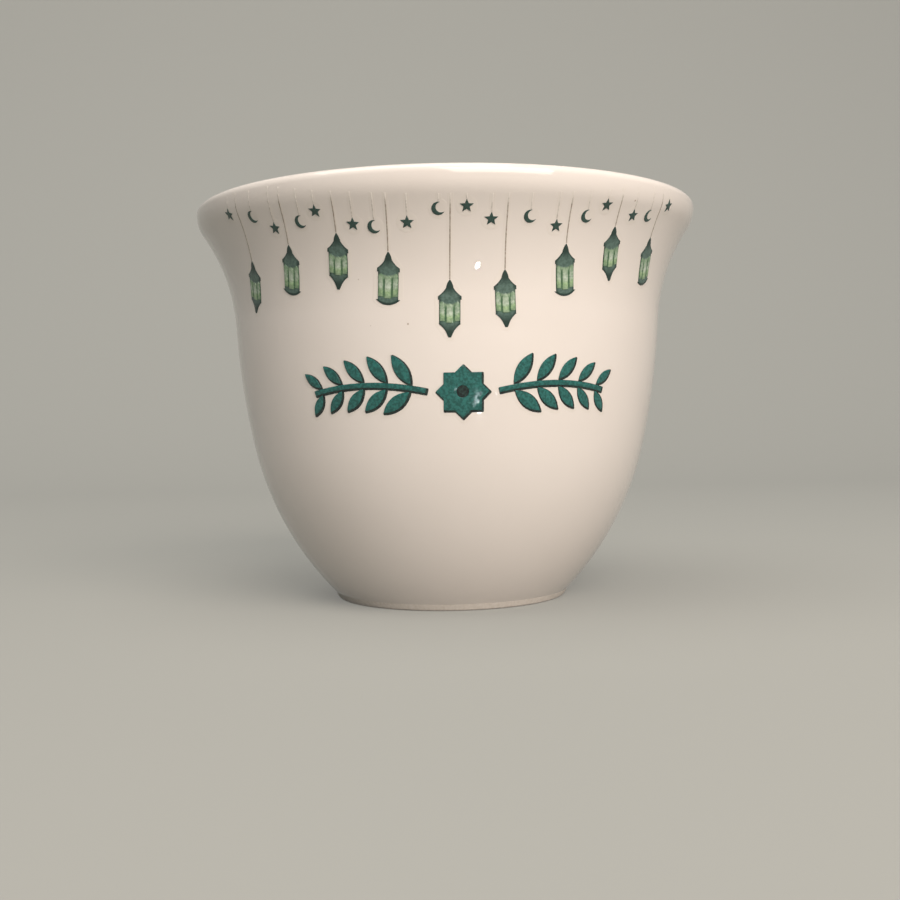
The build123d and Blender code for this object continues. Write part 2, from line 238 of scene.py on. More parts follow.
class Wall:
    """Outside of the cup from the foot to the lip, as arcs that run on from one another.

    An arc starts at a radius, a height and a lean from upright, and turns through an angle at a signed
    bend radius. The wall is upright at the lip.
    """

    def __init__(self, cup):
        foot = cup.foot_diameter / 2
        spread = cup.lip_diameter / 2 - foot
        rise = cup.height - cup.lip_drop - cup.foot_height
        points = [(foot + out * spread, cup.foot_height + up * rise) for out, up in WALL_JOINTS]
        chords = [(end[0] - start[0], end[1] - start[1]) for start, end in zip(points, points[1:])]
        leans = [0.0]
        for chord in reversed(chords):
            leans.insert(0, 2 * atan2(*chord) - leans[0])
        self.arcs = []
        length = 0.0
        for point, chord, lean, next_lean in zip(points, chords, leans, leans[1:]):
            turn = next_lean - lean
            bend = hypot(*chord) / (2 * sin(turn / 2))
            self.arcs.append(Arc(*point, lean, turn, bend, length))
            length += bend * turn

    def spot(self, arc, lean, inset=0.0):
        """Radius and height on an arc where the wall has a lean, drawn into the wall by an inset."""
        radius = arc.radius + arc.bend * (cos(arc.lean) - cos(lean)) - inset * cos(lean)
        height = arc.height + arc.bend * (sin(lean) - sin(arc.lean)) + inset * sin(lean)
        return radius, height

    def at(self, length):
        """Radius, height and lean at a length along the wall from the foot."""
        arc = [arc for arc in self.arcs if arc.start <= length][-1]
        lean = arc.lean + (length - arc.start) / arc.bend
        return (*self.spot(arc, lean), lean)

    def length_at(self, height):
        """Length along the wall from the foot to a height."""
        arc = [arc for arc in self.arcs if arc.height <= height][-1]
        lean = asin(sin(arc.lean) + (height - arc.height) / arc.bend)
        return arc.start + arc.bend * (lean - arc.lean)

    def line(self, inset, step, first_lean):
        """Points from a lean on the lowest arc up to the lip."""
        points = []
        begin = first_lean
        for arc in self.arcs:
            end = arc.lean + arc.turn
            count = ceil(abs(arc.bend * (end - begin)) / step)
            points += [self.spot(arc, begin + (end - begin) * index / count, inset) for index in range(count)]
            begin = end
        return [*points, self.spot(self.arcs[-1], begin, inset)]


def arc_line(centre, radius, begin, end, count=ROUND_STEPS):
    """Points on a circle from one angle to another, both ends included."""
    angles = [begin + (end - begin) * index / count for index in range(count + 1)]
    return [(centre[0] + radius * cos(angle), centre[1] + radius * sin(angle)) for angle in angles]


def skin_line(wall, cup, skin, step):
    """Section of the glazed surface, drawn in by a skin, from the foot over the lip to the inside floor."""
    rim = cup.height - skin
    rounding = cup.lip_round - skin
    outside = wall.line(skin, step, wall.arcs[0].lean)
    outer_lip = arc_line((outside[-1][0] - rounding, rim - rounding), rounding, 0, pi / 2)
    # The bowl's rounding touches the floor below it and the lowest arc of the inside wall beside it
    lowest = wall.arcs[0]
    inset = cup.wall - skin
    floor = cup.floor - skin
    bowl_round = cup.bowl_round + skin
    middle = (lowest.radius + lowest.bend * cos(lowest.lean), lowest.height - lowest.bend * sin(lowest.lean))
    reach = -lowest.bend - inset - bowl_round
    drop = middle[1] - floor - bowl_round
    bowl = (middle[0] + sqrt(reach ** 2 - drop ** 2), floor + bowl_round)
    touch = asin(drop / reach)
    inside = wall.line(inset, step, touch)
    inner_lip = arc_line((inside[-1][0] + rounding, rim - rounding), rounding, pi / 2, pi)
    heel = arc_line(bowl, bowl_round, -touch, -pi / 2, 2 * ROUND_STEPS)
    count = ceil(bowl[0] / step)
    bottom = [(bowl[0] * (1 - index / count), floor) for index in range(1, count + 1)]
    return [*outside, *outer_lip, *inner_lip, *inside[:0:-1], *heel, *bottom]


def foot_line(cup):
    """Section of the dry foot, from its upper edge down, under the ring and up to the roof of the recess."""
    outer = cup.foot_diameter / 2
    inner = outer - cup.foot_ring
    rounding = cup.foot_round
    lean = atan2(cup.foot_taper, cup.foot_height)
    toe = outer - cup.foot_taper - rounding / tan((pi / 2 + lean) / 2)
    return [
        (outer, cup.foot_height),
        *arc_line((toe, rounding), rounding, -lean, -pi / 2),
        *arc_line((inner + rounding, rounding), rounding, -pi / 2, -pi),
        (inner, cup.recess + cup.glaze),
        (0, cup.recess + cup.glaze),
    ]


def pool_line(cup):
    """Section of the glaze inside the foot ring, which climbs a little where it meets the ring."""
    radius = cup.foot_diameter / 2 - cup.foot_ring
    roof = cup.recess + cup.glaze
    edge = (radius - cup.meniscus, cup.recess - cup.meniscus)
    return [(0, roof), (radius, roof), *arc_line(edge, cup.meniscus, 0, pi / 2), (0, cup.recess)]


def to_mode(name):
    """Goes to edit mode or back to object mode."""
    bpy.ops.object.mode_set(mode=name)


def turned(line):
    """A closed shape spun about the cup's axis from a section line that starts and ends on the axis."""
    bpy.ops.object.select_all(action="DESELECT")
    bpy.ops.mesh.primitive_plane_add(size=MM)
    piece = bpy.context.object
    to_mode("EDIT")
    bpy.ops.mesh.merge(type="CENTER")
    place = (0.0, 0.0)
    for index, (radius, height) in enumerate(line):
        move = {"value": (radius - place[0], 0, height - place[1])}
        if index == 0:
            bpy.ops.transform.translate(**move)
        else:
            bpy.ops.mesh.extrude_region_move(TRANSFORM_OT_translate=move)
        place = (radius, height)
    bpy.ops.mesh.select_all(action="SELECT")
    bpy.ops.mesh.spin(steps=TURN_STEPS, angle=tau, center=(0, 0, 0), axis=(0, 0, 1))
    bpy.ops.mesh.select_all(action="SELECT")
    bpy.ops.mesh.remove_doubles(threshold=TINY)
    bpy.ops.mesh.normals_make_consistent(inside=False)
    to_mode("OBJECT")
    bpy.ops.object.shade_smooth_by_angle(angle=TURNED_CREASE)
    return piece


def bowed(start, end, bow, count=BOW_STEPS):
    """Points from one place towards another, bulging to the left by a bow. The end itself isn't included."""
    spread = (end[0] - start[0], end[1] - start[1])
    reach = hypot(*spread)
    points = []
    for index in range(count):
        share = index / count
        lift = 4 * bow * share * (1 - share) / reach
        x = start[0] + share * spread[0] - lift * spread[1]
        y = start[1] + share * spread[1] + lift * spread[0]
        points.append((x, y))
    return points


def mirrored(half):
    """A whole outline from its right half, which runs from top to bottom."""
    return [*half, *[(-x, y) for x, y in reversed(half) if x > TINY]]


def shifted(outline, across, up):
    """An outline moved in its own plane."""
    return [(x + across, y + up) for x, y in outline]


def swung(outline, angle):
    """An outline turned about the origin."""
    return [(x * cos(angle) - y * sin(angle), x * sin(angle) + y * cos(angle)) for x, y in outline]


def counter_clockwise(outline):
    """An outline that runs counter-clockwise."""
    area = sum(a[0] * b[1] - a[1] * b[0] for a, b in zip(outline, [*outline[1:], outline[0]]))
    return outline if area > 0 else outline[::-1]


def outset(outline, distance):
    """An outline drawn out by a distance, with round corners."""
    outline = counter_clockwise(outline)
    grown = []
    for before, here, after in zip([outline[-1], *outline[:-1]], outline, [*outline[1:], outline[0]]):
        begin = atan2(here[1] - before[1], here[0] - before[0]) - pi / 2
        turn = (atan2(after[1] - here[1], after[0] - here[0]) - pi / 2 - begin + pi) % tau - pi
        if turn > SHARP_TURN:
            grown += arc_line(here, distance, begin, begin + turn, CORNER_STEPS)
        else:
            grown += arc_line(here, distance / cos(turn / 2), begin + turn / 2, begin + turn / 2, 1)[:1]
    return grown


def rectangle(width, height):
    """Rectangle that hangs from the origin."""
    return [(-width / 2, -height), (width / 2, -height), (width / 2, 0), (-width / 2, 0)]


def lantern_drop(lantern, pointed):
    """Depths below a lantern's tip: heads and feet of the panes, foot of the body, lowest point."""
    head = lantern.roof_height + lantern.eaves + lantern.sill
    foot = head + (lantern.panes if pointed else lantern.tall_panes)
    body = foot + lantern.sill
    return head, foot, body, body + (lantern.tail_height if pointed else lantern.base_height)


def lantern_end(lantern, pointed):
    """Right half of a lantern's lower end: a pointed tail with a neck, or a dished base."""
    _, _, body, lowest = lantern_drop(lantern, pointed)
    if pointed:
        neck = (lantern.neck_width / 2, -body - lantern.neck_drop)
        shoulder = (lantern.tail_width / 2, -body)
        return [*bowed(shoulder, neck, -lantern.bow), neck, (lantern.tail_tip / 2, -lowest)]
    half = lantern.base_width / 2
    bend = (half ** 2 + lantern.base_height ** 2) / (2 * lantern.base_height)
    sweep = asin(half / bend)
    return arc_line((0, bend - lowest), bend, sweep - pi / 2, -pi / 2, BOW_STEPS)


def lantern_half(lantern, pointed):
    """Right half of a lantern's silhouette, from its tip at the origin down."""
    body = lantern_drop(lantern, pointed)[2]
    finial = (lantern.finial_width / 2, -lantern.finial_height)
    eaves = (lantern.width / 2, -lantern.roof_height)
    eaves_foot = -lantern.roof_height - lantern.eaves
    side = lantern.body_width / 2
    return [
        *bowed((0, 0), finial, lantern.bow),
        *bowed(finial, eaves, -lantern.bow),
        eaves,
        (eaves[0], eaves_foot),
        (side, eaves_foot),
        (side, -body),
        *lantern_end(lantern, pointed),
    ]


def lantern_film(lantern, pointed, margin):
    """Outline of the film round a lantern, which skips the small steps and hollows of the silhouette."""
    eaves = lantern.width / 2
    end = lantern_end(lantern, pointed)
    if pointed:
        end = [end[0], end[-1]]
    half = [(0, 0), (eaves, -lantern.roof_height), (eaves, -lantern.roof_height - lantern.eaves), *end]
    return outset(mirrored(half), margin)


def lantern_windows(lantern, pointed):
    """Outlines of the middle pane and its narrow neighbours, which stand higher. Each has a pointed head."""
    head, foot, _, _ = lantern_drop(lantern, pointed)
    sag = lantern.pane_sag
    step = (lantern.pane_width + lantern.side_pane_width) / 2 + lantern.mullion
    half = lantern.pane_width / 2
    side_half = lantern.side_pane_width / 2
    middle = mirrored([(0, -head - sag), (half, -head - sag - half), (half, -foot)])
    side = mirrored([(0, -head), (side_half, -head - side_half), (side_half, sag - foot)])
    return [middle, shifted(side, -step, 0), shifted(side, step, 0)]


def pointed_star(tip, waist, points):
    """Star about the origin, its first point to the right."""
    corners = [(radius, index * pi / points) for index, radius in enumerate([tip, waist] * points)]
    return [(radius * cos(angle), radius * sin(angle)) for radius, angle in corners]


def star_outline(charm, points=5):
    """Star about the origin, one point up."""
    return [(x, y) for y, x in pointed_star(charm.star_radius, charm.star_waist, points)]


def crescent_outline(charm):
    """Crescent about the origin: a circle hollowed by a smaller one."""
    radius, bite, shift = charm.crescent_radius, charm.crescent_bite, charm.bite_shift
    horn = (radius ** 2 - bite ** 2 + shift ** 2) / (2 * shift)
    back = acos(horn / radius)
    hollow = acos((horn - shift) / bite)
    outer = arc_line((0, 0), radius, back, tau - back, CIRCLE_STEPS)
    inner = arc_line((shift, 0), bite, tau - hollow, hollow, CIRCLE_STEPS)
    return swung([*outer, *inner[1:-1]], charm.crescent_turn)


def circle(radius):
    """Round outline about the origin."""
    return arc_line((0, 0), radius, 0, tau, CIRCLE_STEPS)[:-1]


def rosette_outline(charm, points=8):
    """Star of two squares about the origin, with a point between every two corners to match its round eye."""
    waist = charm.rosette_radius * cos(pi / 4) / cos(pi / points)
    corners = pointed_star(charm.rosette_radius, waist, points)
    outline = []
    for here, after in zip(corners, [*corners[1:], corners[0]]):
        outline += [here, ((here[0] + after[0]) / 2, (here[1] + after[1]) / 2)]
    return outline


def sprig_outlines(charm, side, pairs=5, fullness=0.36):
    """Outlines of a stem and its leaves about the stem's middle. Side: 1 is right, -1 is left."""
    half = charm.sprig_length / 2
    bend = (half ** 2 + charm.sprig_bow ** 2) / (2 * charm.sprig_bow)
    sweep = asin(half / bend)
    middle = (0, charm.sprig_bow - bend)
    upper = arc_line(middle, bend + charm.stem / 2, pi / 2 + sweep, pi / 2 - sweep, 2 * ROUND_STEPS)
    lower = arc_line(middle, bend - charm.stem / 2, pi / 2 - sweep, pi / 2 + sweep, 2 * ROUND_STEPS)
    stand_off = (charm.stem / 2 + charm.leaf_gap) / sin(charm.leaf_angle)
    leaves = []
    for pair in range(pairs):
        along = sweep * (1 - 2 * (pair + 0.5) / pairs)
        foot = (-bend * sin(along), middle[1] + bend * cos(along))
        blade = charm.leaf - pair * charm.leaf_taper
        bow = blade * fullness / 2
        foot_tip = ((0, 0), (blade, 0))
        flat = [*bowed(*foot_tip, bow, LEAF_STEPS), *bowed(*foot_tip[::-1], bow, LEAF_STEPS)]
        for angle in (charm.leaf_angle, -charm.leaf_angle):
            leaves.append(shifted(swung(shifted(flat, stand_off, 0), along + angle), *foot))
    stem = [*upper, *lower]
    return [[(side * x, y) for x, y in stem]], [[(side * x, y) for x, y in leaf] for leaf in leaves]


def wall_seat(wall, length, bearing, tilt=0.0):
    """Place on the wall, X to the right, Y up the wall and Z outwards, at a bearing from the front."""
    radius, height, lean = wall.at(length)
    lie = Matrix.Translation((0, -radius, height)) @ Matrix.Rotation(pi / 2 + lean, 4, "X")
    return Matrix.Rotation(bearing, 4, "Z") @ lie @ Matrix.Rotation(tilt, 4, "Z")


class Sheet:
    """The flat lantern sheet, which wraps the flare as it would a cone."""

    def __init__(self, scene):
        cup = scene.cup_sizes
        layout = scene.cup_print
        wall = Wall(cup)
        self.wall = wall
        self.turn = layout.sheet_turn
        self.top = layout.sheet_top
        self.slope = sin(layout.sheet_cone)
        self.length = wall.length_at(cup.height - layout.sheet_drop)
        self.apex = wall.at(self.length)[0] / self.slope
        self.limit = self.apex + wall.length_at(cup.height - layout.thread_drop) - self.length

    def seat(self, across, down):
        """Seat on the wall of a place on the sheet."""
        right = across * cos(self.turn) + down * sin(self.turn)
        below = down * cos(self.turn) - across * sin(self.turn)
        reach = hypot(right, self.apex - below)
        swing = atan2(right, self.apex - below)
        return wall_seat(self.wall, self.length + reach - self.apex, swing / self.slope, swing + self.turn)

    def thread_top(self, across):
        """Upper end of the thread at a place across the sheet, kept below the lip."""
        highest = self.apex - sqrt(self.limit ** 2 - across ** 2)
        return max(self.top, highest + across * sin(self.turn))


def drawn_loop(outline):
    """A ring of edges along an outline, added to the mesh that is being edited."""
    mesh = bpy.context.object.data
    to_mode("OBJECT")
    known = len(mesh.vertices)
    to_mode("EDIT")
    bpy.ops.mesh.primitive_circle_add(vertices=len(outline), radius=MM)
    to_mode("OBJECT")
    for vertex, (x, y) in zip(mesh.vertices[known:], outline):
        vertex.co = (x, y, 0)
    to_mode("EDIT")


def raised(outline, low, thickness, shoulder, hole=None):
    """A flat raised shape of an outline, with a rounded shoulder, cut so that it can follow the wall."""
    outline = counter_clockwise(outline)
    bpy.ops.object.select_all(action="DESELECT")
    bpy.ops.mesh.primitive_circle_add(vertices=len(outline), radius=MM)
    piece = bpy.context.object
    for vertex, (x, y) in zip(piece.data.vertices, outline):
        vertex.co = (x, y, 0)
    to_mode("EDIT")
    if hole:
        drawn_loop(hole)
        bpy.ops.mesh.select_all(action="SELECT")
        bpy.ops.mesh.bridge_edge_loops()
    else:
        bpy.ops.mesh.edge_face_add()
    to_mode("OBJECT")
    face_down = piece.data.polygons[0].normal.z < 0
    to_mode("EDIT")
    bpy.ops.mesh.select_all(action="SELECT")
    if face_down:
        bpy.ops.mesh.flip_normals()
    bpy.ops.transform.translate(value=(0, 0, low))
    lip = thickness * SHOULDER_LIP
    bpy.ops.mesh.extrude_region_move(TRANSFORM_OT_translate={"value": (0, 0, lip)})
    rounding = arc_line((1, 0), 1, pi, pi / 2, SHOULDER_STEPS)
    for here, after in zip(rounding, rounding[1:]):
        bpy.ops.mesh.inset(
            thickness=shoulder * (after[0] - here[0]), depth=(thickness - lip) * (after[1] - here[1])
        )
    bpy.ops.mesh.select_all(action="SELECT")
    bpy.ops.mesh.quads_convert_to_tris(quad_method="BEAUTY", ngon_method="BEAUTY")
    for axis, values in enumerate(zip(*outline)):
        span = max(values) - min(values)
        count = int(span / BEND_STEP)
        for index in range(1, count + 1):
            place = [0, 0, 0]
            place[axis] = min(values) + span * index / (count + 1)
            direction = [0, 0, 0]
            direction[axis] = 1
            bpy.ops.mesh.select_all(action="SELECT")
            bpy.ops.mesh.bisect(plane_co=place, plane_no=direction)
    bpy.ops.mesh.select_all(action="SELECT")
    bpy.ops.mesh.normals_make_consistent(inside=False)
    to_mode("OBJECT")
    return piece


def note_drawing(piece, depth):
    """Keeps each point's place on the drawing: across and up in millimetres, and share of the depth."""
    drawing = piece.data.attributes.new("drawing", "FLOAT_VECTOR", "POINT")
    for vertex, value in zip(piece.data.vertices, drawing.data):
        value.vector = (vertex.co.x / MM, vertex.co.y / MM, -vertex.co.y / depth)


def press_on(piece, seat, lift=0.0):
    """Presses a flat shape straight onto the glaze at a seat. Each point keeps its height above the glaze."""
    glaze = bpy.data.objects["glaze_gloss"]
    inward = seat.to_3x3() @ Vector((0, 0, -1))
    for vertex in piece.data.vertices:
        x, y, height = vertex.co
        hit, spot, normal, _ = glaze.ray_cast(seat @ Vector((x, y + lift, REACH)), inward)
        if not hit:
            raise RuntimeError(f"{piece.name} reaches past the wall")
        vertex.co = spot + normal * height


def print_shape(outline, seat, low, thickness, shoulder, depth=MM, lift=0.0, hole=None):
    """One raised shape of the print on the cup."""
    piece = raised(outline, low, thickness, shoulder, hole)
    note_drawing(piece, depth)
    press_on(piece, seat, lift)
    return piece


def finish(pieces, name, material, nodes):
    """Joins raised shapes to one piece of the cup with its shading, material and body, and hides the CAD
    nodes it stands in for.
    """
    bpy.ops.object.select_all(action="DESELECT")
    for piece in pieces:
        piece.select_set(True)
    piece = pieces[0]
    bpy.context.view_layer.objects.active = piece
    if len(pieces) > 1:
        bpy.ops.object.join()
    bpy.ops.object.shade_smooth_by_angle(angle=PRINT_CREASE)
    bpy.ops.object.modifier_add(type="WEIGHTED_NORMAL")
    piece.modifiers[-1].keep_sharp = True
    bpy.ops.object.modifier_apply(modifier=piece.modifiers[-1].name)
    return dress(piece, name, material, nodes)


def dress(piece, name, material, nodes):
    """Names a piece, gives it its material, ties it to the cup's body and hides the CAD nodes it stands in
    for.
    """
    piece.name = name
    piece.data.name = name
    piece.data.materials.clear()
    piece.data.materials.append(material)
    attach(piece, BODY)
    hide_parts(*nodes)
    return piece


# Patterns of the materials, from real sizes
CLOUD_WIDTH = 12 * MM     # clouds in the glaze
SPECK_CELL = 5 * MM       # there is one iron speck in about every such stretch
SPECK_RIM = (0.018, 0.03)  # radii of its dark middle and its faded rim, in such stretches
SPECK_DEPTH = 0.7         # how far a speck takes on its own colour
RIPPLE_WIDTH = 4 * MM     # orange peel of the glaze and the film
GLAZE_PEEL = 0.008 * MM   # its depth on the glaze
FILM_PEEL = 0.004 * MM    # its depth on the film
CLAY_GRAIN = 0.4 * MM     # sandy grain of the dry foot
CLAY_RELIEF = 0.03 * MM   # its depth
INK_GRAIN = 0.3 * MM      # grain of the washed ink
WASH = (0.4, 0.6)         # noise at which that ink lies thinnest and thickest

GLAZE_IOR = 1.52
INK_IOR = 1.5
CLAY_IOR = 1.5
GLAZE_ROUGHNESS = 0.06
FILM_ROUGHNESS = 0.05
INK_ROUGHNESS = 0.14
CLAY_ROUGHNESS = 0.75

# How the ink of the motifs lies, in shares of a lantern's depth, of its half width or of full cover
TAIL_DARK = 0.9           # a pointed end is dark from here down
BASE_RIM = (0.945, 0.965)  # light and dark side of the line along a dished base
EDGE_BAND = (0.65, 0.95)  # ink gathers over this stretch towards the outline
EDGE_COVER = 0.85         # cover of that ink on the outline
FRAME_FLECKS = 0.4
PANE_FLECKS = 0.35
PALEST = 0.52             # palest place of the panes, down from the eaves
GREENEST = 0.74           # greenest place of the panes
BAR_RUN = 0.1             # how far the ink of a bar has run
BAR_COVER = 0.7           # cover of that ink on the bar
RUN_COVER = (0.05, 0.2)   # what is left of it on the middle pane and on the side panes
SIDE_RUN = ((0.8, 0.2), (0.95, 0.6))  # ink that has run in from the body's edges
CHARM_FLECKS = 0.5
THREAD_FLECKS = 0.3
THREAD_FADE = (-1.5, -0.2)  # millimetres below its upper end over which a thread fades out
FAINT = 0.55              # faintness of the charms' threads


def add_node(tree, kind, inputs=None, stops=(), result=0, **settings):
    """Adds a shader node and gives one of its outputs. Settings are its properties, and stops fill its ramp.

    Inputs go by name or number, and each is a value or another node's output.
    """
    made = tree.nodes.new("ShaderNode" + kind)
    for name, value in settings.items():
        setattr(made, name, value)
    for name, value in (inputs or {}).items():
        if isinstance(value, NodeSocket):
            tree.links.new(value, made.inputs[name])
        else:
            made.inputs[name].default_value = value
    for index, (place, shade) in enumerate(stops):
        elements = made.color_ramp.elements
        element = elements[index] if index < 2 else elements.new(place)
        element.position = place
        element.color = shade
    return made.outputs[result] if made.outputs else None


def start_material(name):
    """An empty material, its nodes, and the place of each point in metres."""
    material = bpy.data.materials.new(name)
    material.use_nodes = True
    tree = material.node_tree
    tree.nodes.clear()
    return material, tree, add_node(tree, "TexCoord", result="Object")


def end_material(tree, inputs):
    """Closes a material with its shader."""
    add_node(tree, "OutputMaterial", {"Surface": add_node(tree, "BsdfPrincipled", inputs)})


def grey(share):
    """A share as a ramp's colour."""
    return share, share, share, 1.0


def glaze_material(name, tone, cloud_tone, speck_tone, roughness, peel):
    """Clear glaze fired over white porcelain: wet gloss, faint clouds, a few iron specks, a ripple."""
    material, tree, place = start_material(name)
    cloud = add_node(tree, "TexNoise", {"Vector": place, "Scale": 1 / CLOUD_WIDTH, "Detail": 3.0})
    body = add_node(tree, "Mix", {0: cloud, 6: tone, 7: cloud_tone}, result=2, data_type="RGBA")
    cell = add_node(tree, "TexVoronoi", {"Vector": place, "Scale": 1 / SPECK_CELL})
    speck = add_node(tree, "MapRange", {
        "Value": cell, "From Min": SPECK_RIM[0], "From Max": SPECK_RIM[1],
        "To Min": SPECK_DEPTH, "To Max": 0.0,
    })
    specked = add_node(tree, "Mix", {0: speck, 6: body, 7: speck_tone}, result=2, data_type="RGBA")
    ripple = add_node(tree, "TexNoise", {"Vector": place, "Scale": 1 / RIPPLE_WIDTH, "Detail": 1.0})
    bump = add_node(tree, "Bump", {"Height": ripple, "Strength": 1.0, "Distance": peel})
    end_material(tree, {"Base Color": specked, "Roughness": roughness, "IOR": GLAZE_IOR, "Normal": bump})
    return material


def dry_porcelain(colours):
    """Unglazed, ground porcelain where the cup stands: chalky, warm white, sandy grain, its tone partly
    painted shade.
    """
    material, tree, place = start_material("dry porcelain")
    grain = add_node(tree, "TexNoise", {"Vector": place, "Scale": 1 / CLAY_GRAIN, "Detail": 4.0})
    tone = add_node(tree, "Mix", {0: grain, 6: colours.clay, 7: colours.glaze}, result=2, data_type="RGBA")
    bump = add_node(tree, "Bump", {"Height": grain, "Strength": 0.6, "Distance": CLAY_RELIEF})
    end_material(tree, {"Base Color": tone, "Roughness": CLAY_ROUGHNESS, "IOR": CLAY_IOR, "Normal": bump})
    return material


def start_ink(name):
    """Printed ink: the fine uneven grain of a wash, and the place on the flat drawing."""
    material, tree, place = start_material(name)
    grain = add_node(tree, "TexNoise", {"Vector": place, "Scale": 1 / INK_GRAIN, "Detail": 3.0})
    wash = add_node(tree, "MapRange", {"Value": grain, "From Min": WASH[0], "From Max": WASH[1]})
    drawing = add_node(tree, "Attribute", result="Vector", attribute_name="drawing")
    return material, tree, wash, add_node(tree, "SeparateXYZ", {"Vector": drawing}).node.outputs


def end_ink(tree, cover, tone, ink):
    """Glossy ink that covers a tone more or less."""
    mixed = add_node(tree, "Mix", {0: cover, 6: tone, 7: ink}, result=2, data_type="RGBA")
    end_material(tree, {"Base Color": mixed, "Roughness": INK_ROUGHNESS, "IOR": INK_IOR})


def sagging_depth(tree, axes):
    """Share of a lantern's depth, with lines of equal depth that hang lower in the middle."""
    square = add_node(tree, "Math", {0: axes["X"], 1: 2.0}, operation="POWER")
    return add_node(tree, "Math", {0: square, 1: LINE_SAG, 2: axes["Z"]}, operation="MULTIPLY_ADD")


def share_aside(tree, axes, half):
    """Distance from a lantern's axis, as a share of a half width."""
    aside = add_node(tree, "Math", {0: axes["X"]}, operation="ABSOLUTE")
    return add_node(tree, "Math", {0: aside, 1: half / MM}, operation="DIVIDE")


def eaves_line(lantern, depth):
    """Sagging line from one lower corner of the eaves to the other, as a share of the lantern's depth."""
    return (lantern.roof_height + lantern.eaves) / depth + LINE_SAG * (lantern.width / 2 / MM) ** 2


def lantern_ink(name, colours, lantern, pointed):
    """Dark green wash of a lantern's frame: it gathers along the edges and thins out on the dome and bars."""
    material, tree, wash, axes = start_ink(name)
    _, _, body, depth = lantern_drop(lantern, pointed)
    eaves = eaves_line(lantern, depth)
    end = body / depth - SOFT_LINE
    stops = [
        (lantern.finial_height / depth, colours.roof),
        (lantern.roof_height / depth, colours.roof_light),
        (eaves - SOFT_LINE, colours.roof_light),
        (eaves + SOFT_LINE, colours.pane),
        (eaves + 4 * SOFT_LINE, colours.frame_green),
        (end - SOFT_LINE, colours.frame_green),
    ]
    if pointed:
        stops += [(end + SOFT_LINE, colours.roof_light), (TAIL_DARK, colours.roof)]
    else:
        stops += [(end, colours.roof_light), (BASE_RIM[0], colours.roof_light), (BASE_RIM[1], colours.roof)]
    down = add_node(tree, "ValToRGB", {"Fac": sagging_depth(tree, axes)}, stops)
    # How near a point is to the lantern's outline: 0 on its axis, 1 on the outline
    widest = lantern.base_width / 2
    widths = {}
    for x, y in lantern_half(lantern, pointed):
        widths[-y / depth] = max(x / widest, widths.get(-y / depth, 0.0))
    width_stops = [(at, grey(share)) for at, share in widths.items()]
    width = add_node(tree, "ValToRGB", {"Fac": axes["Z"]}, width_stops)
    near = add_node(tree, "Math", {0: share_aside(tree, axes, widest), 1: width}, operation="DIVIDE")
    edge = add_node(tree, "MapRange", {
        "Value": near, "From Min": EDGE_BAND[0], "From Max": EDGE_BAND[1], "To Max": EDGE_COVER,
    })
    cover = add_node(tree, "Math", {0: wash, 1: FRAME_FLECKS, 2: edge}, operation="MULTIPLY_ADD")
    end_ink(tree, cover, down, colours.roof)
    return material


def pane_ink(name, colours, lantern, pointed):
    """Light green wash of the panes: palest half way down the middle, greener below, darker at the sides."""
    material, tree, wash, axes = start_ink(name)
    _, foot, _, depth = lantern_drop(lantern, pointed)
    eaves = eaves_line(lantern, depth)
    lit_height = foot / depth - eaves
    down = add_node(tree, "ValToRGB", {"Fac": sagging_depth(tree, axes)}, [
        (eaves - SOFT_LINE, colours.roof_light),
        (eaves + SOFT_LINE, colours.pane),
        (eaves + PALEST * lit_height, colours.pane_light),
        (eaves + GREENEST * lit_height, colours.pane_glow),
        (foot / depth, colours.pane),
    ])
    # The ink of the bars has run into the panes on either side, and in from the body's edges
    half = lantern.body_width / 2
    bar = lantern.pane_width / 2 / half
    bar_end = bar + lantern.mullion / half
    runs = [
        (0.0, 0.0), (bar - BAR_RUN, RUN_COVER[0]), (bar, BAR_COVER),
        (bar_end, BAR_COVER), (bar_end + BAR_RUN, RUN_COVER[1]), *SIDE_RUN,
    ]
    aside = share_aside(tree, axes, half)
    run = add_node(tree, "ValToRGB", {"Fac": aside}, [(at, grey(cover)) for at, cover in runs])
    cover = add_node(tree, "Math", {0: wash, 1: PANE_FLECKS, 2: run}, operation="MULTIPLY_ADD")
    end_ink(tree, cover, down, colours.frame_green)
    return material


def flecked_ink(name, tone, fleck_tone, flecks=1.0):
    """Plain ink of a star, a crescent or the leaf ornament, with darker flecks where it lies thicker."""
    material, tree, wash, _ = start_ink(name)
    end_ink(tree, add_node(tree, "Math", {0: wash, 1: flecks}, operation="MULTIPLY"), tone, fleck_tone)
    return material


def thread_ink(name, colours, faintness):
    """Thin taupe line, more or less faint, that fades out into the film below the lip."""
    material, tree, wash, axes = start_ink(name)
    fade = add_node(tree, "MapRange", {
        "Value": axes["Y"], "From Min": THREAD_FADE[0], "From Max": THREAD_FADE[1],
        "To Min": faintness, "To Max": 1.0,
    })
    cover = add_node(tree, "Math", {0: wash, 1: THREAD_FLECKS, 2: fade}, operation="MULTIPLY_ADD")
    end_ink(tree, cover, colours.thread, colours.film)
    return material


def studio_paper(colours):
    """Seamless matte paper of the floor and backdrop: no sheen, and pale far from the lamps too."""
    material, tree, _ = start_material("studio paper")
    ray = add_node(tree, "LightPath").node.outputs
    in_gloss = add_node(tree, "Math", {0: ray["Is Glossy Ray"], 1: ray["Is Transmission Ray"]})
    seen = add_node(tree, "Math", {0: ray["Is Camera Ray"], 1: in_gloss})
    glow = add_node(tree, "Math", {0: seen, 1: PAPER_GLOW}, operation="MULTIPLY")
    end_material(tree, {
        "Base Color": colours.floor, "Roughness": 1.0, "Specular IOR Level": 0.0,
        "Emission Color": linear(PAPER_TONE), "Emission Strength": glow,
    })
    return material


